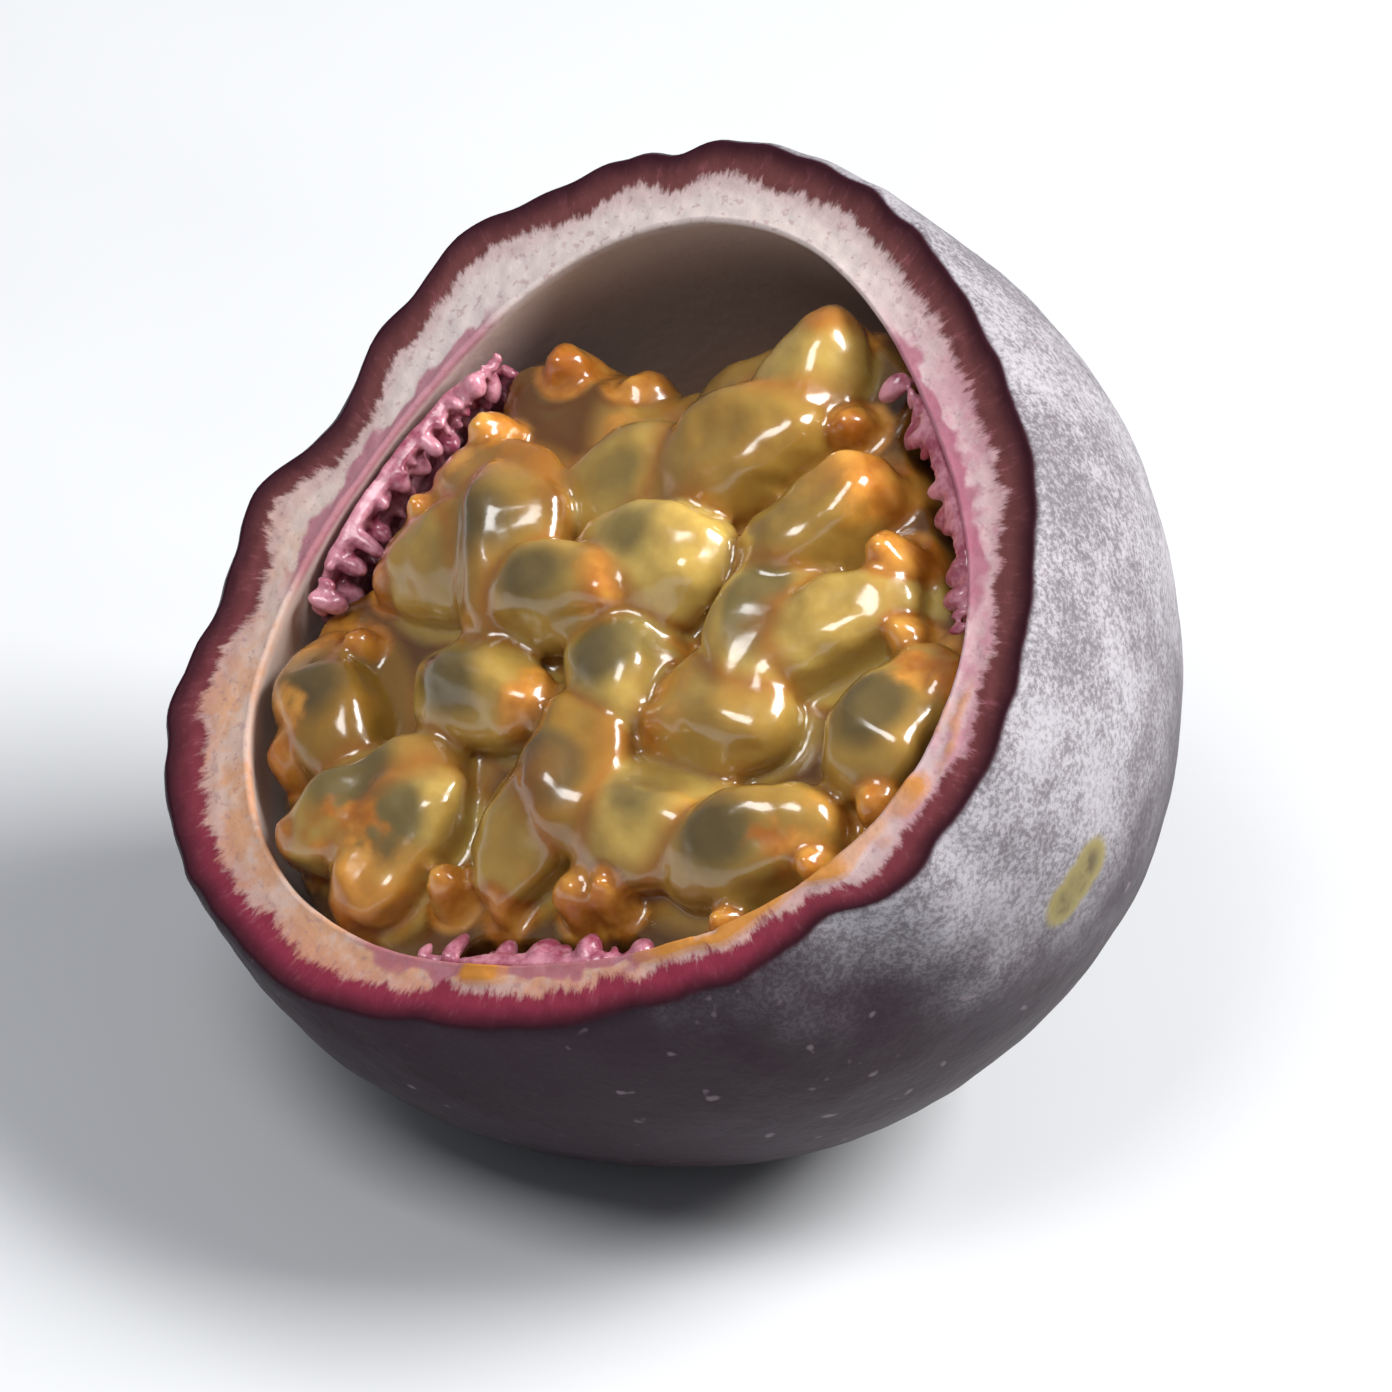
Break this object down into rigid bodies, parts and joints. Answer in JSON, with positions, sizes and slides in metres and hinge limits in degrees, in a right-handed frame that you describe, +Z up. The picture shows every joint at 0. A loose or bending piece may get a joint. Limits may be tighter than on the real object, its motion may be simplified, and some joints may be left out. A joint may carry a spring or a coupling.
{
  "type": "cut passion fruit half",
  "caption": "Cut half of a purple passion fruit lying on its rounded side, its cup of rind filled with juicy seed sacs.",
  "frame": {"origin": "middle of the small flat spot on the rounded side that the half rests on", "axes": "+Z up from the surface it rests on; the cut face looks towards -Y and up, tilted 38 degrees from level; +X is to the right for a viewer who faces the cut"},
  "size_m": [0.0534, 0.0514, 0.0469],
  "materials": {
    "rind": "satin",
    "placenta": "satin",
    "pulp": "gloss"
  },
  "bodies": {
    "root": {"rind": "rind", "placenta_right": "placenta", "placenta_left": "placenta", "placenta_lower": "placenta", "pulp": "pulp"}
  },
  "joints": []
}
